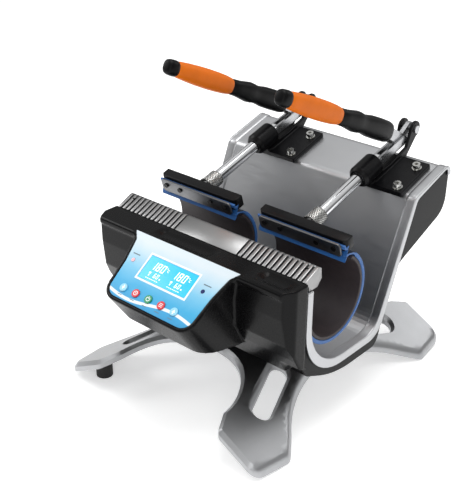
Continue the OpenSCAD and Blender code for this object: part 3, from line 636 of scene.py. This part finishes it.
def panel_half_width(down):
    """Half width of the panel recess at a distance down its slope, in mm."""
    stops = ((-2, 75.6), (0, 75.3), (4, 71.5), (9, 67.5), (20, 64.6), (36, 61.8), (60, 59.6), (70, 58.4),
             (74, 55), (76.4, 50), (77.3, 44))
    for (a, va), (b, vb) in zip(stops, stops[1:]):
        if a <= down <= b:
            return va + (vb - va) * (down - a) / (b - a)
    return -1.0


SCOOPS = ((-58, 28), (86, 132))       # x ranges of the two finger scoops in the shelf
SCOOP_DEPTH, SCOOP_Y, SCOOP_HALF = 3.5, -71, 11
PANEL_DEPTH = 0.95


def dish_housing(p):
    """Two shallow finger scoops in the shelf, and the flat recess that holds the printed panel."""
    x, y, z = p.x / MM, (p.y - AXIS_Y) / MM, (p.z - AXIS_Z) / MM
    if z > 36 and -86 < y < -58:
        for x0, x1 in SCOOPS:
            fade = min(1, max(0, (x - x0) / 9)) * min(1, max(0, (x1 - x) / 9))
            across = max(0.0, 1 - ((y - SCOOP_Y) / SCOOP_HALF) ** 2)
            p = Vector((p.x, p.y, p.z - SCOOP_DEPTH * MM * fade * across))
    # the ends' lower corner is blunted so that it meets the cheek in one curve
    end = min(1, max(0, (abs(x) - 110) / 15))
    if z < -56 and end:
        p = Vector((p.x, p.y, AXIS_Z + (z + (-56 - z) * 0.75 * end) * MM))
    local = INTO_PANEL @ p / MM
    if -3.0 < local.z < 1.5 and -77.3 < local.y < 0.2 and abs(local.x) < panel_half_width(-local.y):
        p = AT_PANEL @ (Vector((local.x, local.y, -PANEL_DEPTH)) * MM)
    return p


cast("front_housing", 0.0011, 5, dish_housing)
for side in ("left", "right"):
    cast(side + "_bracket", 0.0006, 4)


# ---------------------------------------------------------------- front rail
def front_rail():
    """Aluminium rail: a ribbed face at both ends and a plain middle."""
    under = [(-30, 37), (-37, 29.2), (-50.6, 29.2), (-50.6, 34.8), (-55.4, 34.8)]
    face = [(-55.4, 41.3), (-56.8, 41.4), (-37.2, 50.5), (-34, 50.4), (-31.4, 48.6)]
    core = [(-55.4, 39.6), (-36.8, 48.2), (-34, 48.2), (-32, 46.8)]
    prism("rail_core", core + under, -134.6, 134.6, "dark_screw", AT_AXIS, bevel=0.0004, segments=2)
    bits = [prism("rail_middle", face + under, -44, 44, "rail_metal", AT_AXIS, bevel=0.0005, segments=2)]
    pitch = 6.5
    for i in range(14):
        for s in (-1, 1):
            a = s * (44 + 2.4 + i * pitch)
            bits.append(prism("rail_rib", face + under, a, a + s * 4.0, "rail_metal", AT_AXIS, bevel=0.0006,
                              segments=2))
    join(bits, "front_rail_ribbed", ["front_rail"])


front_rail()


# ---------------------------------------------------------------- heaters
def heater(side, s):
    """Lining and jacket in two halves: the front one is fixed, the rear one bends with the pressure bar."""
    x0, x1 = s * STATION - HALF_HEATER, s * STATION + HALF_HEATER
    place = clamp_place(side)
    # the jacket's tongue runs up the pressure bar's face; these are its two ends
    tongue = [AT_AXIS.inverted() @ (place @ (Vector((0, -7.9, w)) * MM)) / MM for w in (-9.0, 4.2)]
    for kind, (r0, r1), slot in (("lining", LINING, "lining_dark"), ("jacket", JACKET, "silicone_blue")):
        middle, thick = (r0 + r1) / 2, r1 - r0
        front = [(-middle, 28.2)] if kind == "jacket" else []
        front += [(middle * math.cos(math.radians(a)), middle * math.sin(math.radians(a)))
                  for a in range(-180, -89, 4)]
        front[-1] = (0.0, -middle)
        rear = [(middle * math.cos(math.radians(a)), middle * math.sin(math.radians(a)))
                for a in range(-90, 61, 4)]
        if kind == "jacket":
            rear += rounded([(*rear[-1], 0), (14.5, 44.6, 5), (tongue[0].y, tongue[0].z, 3),
                             (tongue[1].y, tongue[1].z, 0)], 5)[1:]
        for half, path in (("front", front), ("rear", rear)):
            cut = 0.6      # width of the section's chamfers
            section = [(x0 + cut, -thick / 2), (x1 - cut, -thick / 2), (x1, -thick / 2 + cut),
                       (x1, thick / 2 - cut), (x1 - cut, thick / 2), (x0 + cut, thick / 2),
                       (x0, thick / 2 - cut), (x0, -thick / 2 + cut)]
            thin = None
            if kind == "jacket" and half == "rear":
                thin = [1 if math.hypot(y, z) < r1 and z < 38 else 0.56 for y, z in path]
            piece = sweep(f"{side}_{kind}_{half}", path, section, slot, thin)
            if kind == "jacket":
                # painted shade: the jacket's outward faces, except at the very front and over the top, get the
                # dark material in place of the shade there
                piece.data.materials.append(MATERIALS["jacket_painted_shade"])
                for face in piece.data.polygons:
                    at = face.center
                    out = Vector((0, at.y - AXIS_Y, at.z - AXIS_Z)).normalized()
                    if face.normal.dot(out) > 0.8 and at.y > AXIS_Y - 0.045 and at.z < AXIS_Z + 0.046:
                        face.material_index = 1
            if half == "rear":
                piece.parent = None
                del piece["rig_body"]
                seam = AT_AXIS @ Vector((0, 0, -0.047))
                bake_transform(piece, BODY, side + "_slider", seam, AT_AXIS @ Vector((0, 0.012, 0.047)))
                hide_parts(side + ("_lining" if kind == "lining" else "_tongue"))
            elif kind == "jacket":
                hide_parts(side + "_jacket")


for side, s in (("left", -1), ("right", 1)):
    heater(side, s)


# ---------------------------------------------------------------- hand grips
def oval(half_x, half_h, z, count=40, power=2.4):
    """A ring of a grip's cross-section: an ellipse squared a little, as a hand grip is."""
    ring = []
    for i in range(count):
        a = 2 * math.pi * i / count
        c, k = math.cos(a), math.sin(a)
        ring.append((math.copysign(abs(c) ** (2 / power), c) * half_x,
                     math.copysign(abs(k) ** (2 / power), k) * half_h, z))
    return ring


GRIP_ANGLE, GRIP_START = math.radians(139.1), (160.0, 22.0)


def grip(side):
    """A waisted black handle with a thicker orange sleeve, laid along the lever."""
    place = (clamp_place(side) @ Matrix.Translation(Vector((0, *GRIP_START)) * MM)
             @ Matrix.Rotation(GRIP_ANGLE - math.pi / 2, 4, "X"))
    arm = side + "_lever_arm"
    rear = ((0, 5.6, 8.2), (0.8, 7.0, 10.0), (2.5, 8.2, 11.2), (8, 9.1, 12.1), (26, 9.4, 12.4),
            (44, 9.2, 12.0), (56, 8.6, 10.6), (63, 8.4, 10.4), (68, 8.8, 11.2), (75, 9.0, 11.6),
            (82, 8.6, 10.8), (94, 7.9, 9.4), (109, 7.6, 8.9))
    core = ((110, 7.0, 8.2), (202, 6.4, 7.6), (203.4, 7.3, 8.4), (206, 7.6, 8.7), (212, 7.3, 8.4),
            (215, 6.6, 7.6), (216.4, 5.2, 6.2), (217, 3.4, 4.2))
    loft(side + "_grip_handle", [oval(a, b, z) for z, a, b in rear + core], "grip_black", place, body=arm,
         replaces=[side + "_grip"])
    cover = ((109.2, 6.4, 7.4), (109.8, 7.3, 8.6), (112, 7.9, 9.4), (120, 8.6, 10.3), (135, 9.1, 10.9),
             (150, 9.2, 11.0), (168, 9.0, 10.6), (184, 8.5, 9.8), (196, 7.8, 8.9), (201, 7.2, 8.2),
             (202.7, 6.4, 7.4))
    loft(side + "_grip_cover", [oval(a, b, z) for z, a, b in cover], "grip_orange", place, body=arm,
         replaces=[side + "_grip_sleeve"])


for side in ("left", "right"):
    grip(side)


# ---------------------------------------------------------------- collars, bars and plates
def turned(name, stations, slot, place, body, replaces=(), count=64):
    """A turned piece: (position along, radius) stations in mm about the Y axis of its own frame."""
    vertices, faces = [], []
    for along, r in stations:
        vertices += [(r * MM * math.sin(2 * math.pi * i / count), along * MM,
                      r * MM * math.cos(2 * math.pi * i / count)) for i in range(count)]
    for k in range(len(stations) - 1):
        faces += [[k * count + i, k * count + (i + 1) % count, (k + 1) * count + (i + 1) % count,
                   (k + 1) * count + i] for i in range(count)]
    mesh = bpy.data.meshes.new(name)
    mesh.from_pydata(vertices, [], faces)
    bm = bmesh.new()
    bm.from_mesh(mesh)
    bmesh.ops.recalc_face_normals(bm, faces=bm.faces)
    bm.to_mesh(mesh)
    bm.free()
    obj = bpy.data.objects.new(name, mesh)
    bpy.context.scene.collection.objects.link(obj)
    obj.matrix_world = place
    finish_piece(obj, slot, body, replaces)
    smooth(obj)
    return obj


for side in ("left", "right"):
    place = clamp_place(side)
    turned(side + "_collar_knurled",
           ((8, 7.07), (8, 9.6), (8.5, 10.2), (9.7, 10.2), (10.2, 9.0), (10.8, 9.45), (26.2, 9.45),
            (26.8, 8.9), (27.3, 9.3), (28, 8.8), (28, 7.07)), "knurl", place, side + "_nut", [side + "_collar"])
    # pressure bar with softened edges and chamfered front corners
    plan = [(-58, 6.5), (-58, -2.9), (-54.4, -6.5), (54.4, -6.5), (58, -2.9), (58, 6.5)]
    ends = [[place @ (Vector((x, u, w)) * MM) for x, u in plan] for w in (-5.5, 8.5)]
    slab(side + "_pressure_bar", *ends, "cast_black", body=side + "_slider", bevel=0.0009,
         replaces=[side + "_bar"])
    # steel plate with cut corners
    plan = [(-54, 4), (-51.5, 6.5), (51.5, 6.5), (54, 4), (54, -7), (51.5, -9.5), (-51.5, -9.5), (-54, -7)]
    ends = [[place @ (Vector((x, u, w)) * MM) for x, w in plan] for u in (-12.1, -9.2)]
    slab(side + "_plate_edged", *ends, "dark_steel", body=side + "_slider", bevel=0.0005, segments=2,
         replaces=[side + "_clamp_plate"])
    # recessed dark heads on the plate
    for k in (-46, -24, 24, 46):
        turned(f"{side}_plate_head_{k}",
               ((-12.2, 0), (-12.2, 1.2), (-12.9, 1.5), (-12.9, 2.4), (-12.5, 2.9), (-11.5, 2.9)),
               "dark_screw", place @ Matrix.Translation((k * MM, 0, 0)), side + "_slider")


# ---------------------------------------------------------------- display and keys
def on_panel(name, polygons, height, slot, thick=0.15):
    """Flat marks (polygons in panel x, y millimetres) raised a hair above the panel face."""
    vertices, faces = [], []
    for points in polygons:
        n, start = len(points), len(vertices)
        vertices += [AT_PANEL @ (Vector((x, y, h)) * MM) for h in (height - thick, height) for x, y in points]
        faces += [[start + n + i for i in range(n)], [start + i for i in range(n)][::-1]]
        faces += [[start + i, start + (i + 1) % n, start + n + (i + 1) % n, start + n + i] for i in range(n)]
    return make(name, vertices, faces, slot)


SEGMENTS = {"1": "bc", "8": "abcdefg", "0": "abcdef", "6": "acdefg"}


def digit(character, x, y, h):
    """Seven-segment strokes of one digit, h tall, its lower left corner at x, y."""
    w, t, g = h * 0.5, h * 0.13, h * 0.02
    bars = {"a": (t, h - t, w - t, h), "g": (t, h / 2 - t / 2, w - t, h / 2 + t / 2), "d": (t, 0, w - t, t),
            "f": (0, h / 2 + g, t, h - g), "b": (w - t, h / 2 + g, w, h - g),
            "e": (0, g, t, h / 2 - g), "c": (w - t, g, w, h / 2 - g)}
    out = []
    for key in SEGMENTS[character]:
        x0, y0, x1, y1 = bars[key]
        out.append([(x + a + 0.12 * b, y + b) for a, b in ((x0, y0), (x1, y0), (x1, y1), (x0, y1))])
    return out


def ring_arc(x, y, r0, r1, start, end, count=18):
    """Part of a flat ring round (x, y), in short four-sided marks."""
    turns = [math.radians(start + (end - start) * i / count) for i in range(count + 1)]
    return [[(x + r * math.cos(a), y + r * math.sin(a)) for r, a in ((r0, p), (r1, p), (r1, q), (r0, q))]
            for p, q in zip(turns, turns[1:])]


def rectangle(x0, y0, x1, y1):
    """The corners of an upright rectangle, as one mark."""
    return [(x0, y0), (x1, y0), (x1, y1), (x0, y1)]


def display():
    """The lit readings of both stations, and the neutral bars printed where captions would be."""
    marks = []
    for x in (-27.0, 4.0):
        for i, c in enumerate("180"):
            marks += digit(c, x + i * 6.6, -33.5, 9.6)
        marks.append(rectangle(x + 20.4, -26.6, x + 21.6, -25.4))
        marks += ring_arc(x + 23.4, -28.4, 1.0, 1.6, 60, 300, 8)
        for i, c in enumerate("60"):
            marks += digit(c, x + 9.5 + i * 4.0, -41.5, 5.6)
        marks += [rectangle(x + 18.6, -41.4, x + 20.2, -39.8), rectangle(x + 2.2, -38.6, x + 4.6, -36.4),
                  rectangle(x + 2.8, -41.4, x + 4.0, -39.2)]
        marks += [rectangle(x + 1.5 + i * 2.6, -44.4, x + 3.2 + i * 2.6, -43.6) for i in range(7)]
    on_panel("display_digits", marks, -0.12, "digits")
    x0, x1, y0, y1, t = -35.4, 33.4, -47.4, -18.6, 2.2
    frame_bars = [rectangle(x0 - t, y0 - t, x1 + t, y0), rectangle(x0 - t, y1, x1 + t, y1 + t),
                  rectangle(x0 - t, y0, x0, y1), rectangle(x1, y0, x1 + t, y1)]
    on_panel("display_border", frame_bars, 0.1, "print_white")
    # small printed bars where captions would be
    small = [rectangle(-59, -25.6, -49, -24.4), rectangle(44, -25.6, 54, -24.4)]
    small += [rectangle(-4 + i * 18.5 - 3.2, -73.0, -4 + i * 18.5 + 3.2, -72.3) for i in range(-2, 3)]
    on_panel("panel_marks", small, 0.06, "print_grey")


display()


def key_marks():
    """A plain sign on each key, riding with it."""
    top, y = 1.25, -64.5
    x = -4 - 37.0
    pieces = {"key_down": [[(x - 2.2, y + 1), (x, y - 2.4), (x + 2.2, y + 1)],
                           rectangle(x - 0.8, y + 0.9, x + 0.8, y + 2.8)]}
    x += 18.5
    pieces["key_timer"] = ring_arc(x, y, 1.9, 2.7, 0, 360) + [rectangle(x - 0.35, y - 0.2, x + 0.35, y + 1.7),
                                                              rectangle(x - 0.2, y - 0.35, x + 1.4, y + 0.35)]
    x += 18.5
    pieces["key_power"] = ring_arc(x, y, 1.8, 2.7, 120, 420) + [rectangle(x - 0.45, y + 0.4, x + 0.45, y + 3.2)]
    x += 18.5
    pieces["key_set"] = [rectangle(x - 2.3, y + k - 0.35, x + 2.3, y + k + 0.35) for k in (-1.7, 0, 1.7)]
    x += 18.5
    pieces["key_up"] = [[(x - 2.2, y - 1), (x + 2.2, y - 1), (x, y + 2.4)],
                        rectangle(x - 0.8, y - 2.8, x + 0.8, y - 0.9)]
    for name, marks in pieces.items():
        obj = on_panel(name + "_mark", marks, top, "print_white", 0.2)
        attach(obj, name)


key_marks()


# ---------------------------------------------------------------- camera, light, floor
def setting():
    """Camera, studio room, softboxes and the pale floor."""
    camera = bpy.data.objects.new("camera", bpy.data.cameras.new("camera"))
    bpy.context.scene.collection.objects.link(camera)
    camera.location = (0.6032, -0.6932 + AXIS_Y, 0.6395)
    camera.rotation_euler = (math.radians(90 - 29.06), 0, math.radians(42.12))
    camera.data.lens = 68.74
    camera.data.sensor_width = 36
    camera.data.shift_x = 0.0075
    camera.data.shift_y = 0.072
    camera.data.clip_start = 0.05
    camera.data.clip_end = 20
    camera.data.dof.use_dof = False
    bpy.context.scene.camera = camera
    bpy.context.scene.view_settings.view_transform = "Standard"

    world = bpy.data.worlds.new("studio_room")
    bpy.context.scene.world = world
    world.use_nodes = True
    tree = world.node_tree
    tree.nodes.clear()
    # pale room, darker towards the horizon, so that the metal has something to reflect
    up = add(tree, "SeparateXYZ", {"Vector": add(tree, "TexCoord").outputs["Generated"]}).outputs["Z"]
    sky = ramp(tree, maths(tree, "ADD", maths(tree, "MULTIPLY", up, 0.5), 0.5),
               [(0.45, 0.7), (0.52, 0.16), (0.66, 0.3), (0.8, 0.85), (0.95, 1.0)])
    add(tree, "OutputWorld", {"Surface": add(tree, "Background", {"Color": sky, "Strength": 0.75}).outputs[0]})

    def softbox(name, at, size, power, target=(0, 0, 0.15), tint="ffffff"):
        light = bpy.data.objects.new(name, bpy.data.lights.new(name, "AREA"))
        bpy.context.scene.collection.objects.link(light)
        light.data.shape = "RECTANGLE"
        light.data.size, light.data.size_y = size
        light.data.energy = power
        light.data.color = colour(tint)[:3]
        light.location = at
        light.rotation_euler = (Vector(target) - Vector(at)).to_track_quat("-Z", "Y").to_euler()

    softbox("top_light", (0.1, 0.1, 1.6), (1.0, 0.8), 11)
    softbox("left_light", (-1.3, -0.5, 1.0), (0.7, 0.9), 8)
    softbox("back_light", (0.6, 1.4, 1.0), (1.0, 0.5), 3)
    softbox("front_light", (0.9, -1.3, 0.7), (0.8, 0.8), 4)

    floor_material, tree, shader, place = new_material("studio_floor")
    spots = add(tree, "TexNoise", {"Vector": place, "Scale": 3.0, "Detail": 2.0}).outputs["Fac"]
    tree.links.new(ramp(tree, spots, [(0.3, colour("fbfbfb")), (0.7, colour("ffffff"))]),
                   shader.inputs["Base Color"])
    shader.inputs["Roughness"].default_value = 0.85
    # lit from below like a light table, so that it stays white out to the horizon
    shader.inputs["Emission Color"].default_value = (1, 1, 1, 1)
    shader.inputs["Emission Strength"].default_value = 0.4
    mesh = bpy.data.meshes.new("studio_floor")
    mesh.from_pydata([(-8, -8, 0), (8, -8, 0), (8, 8, 0), (-8, 8, 0)], [], [(0, 1, 2, 3)])
    floor = bpy.data.objects.new("studio_floor", mesh)
    bpy.context.scene.collection.objects.link(floor)
    mesh.materials.append(floor_material)


setting()
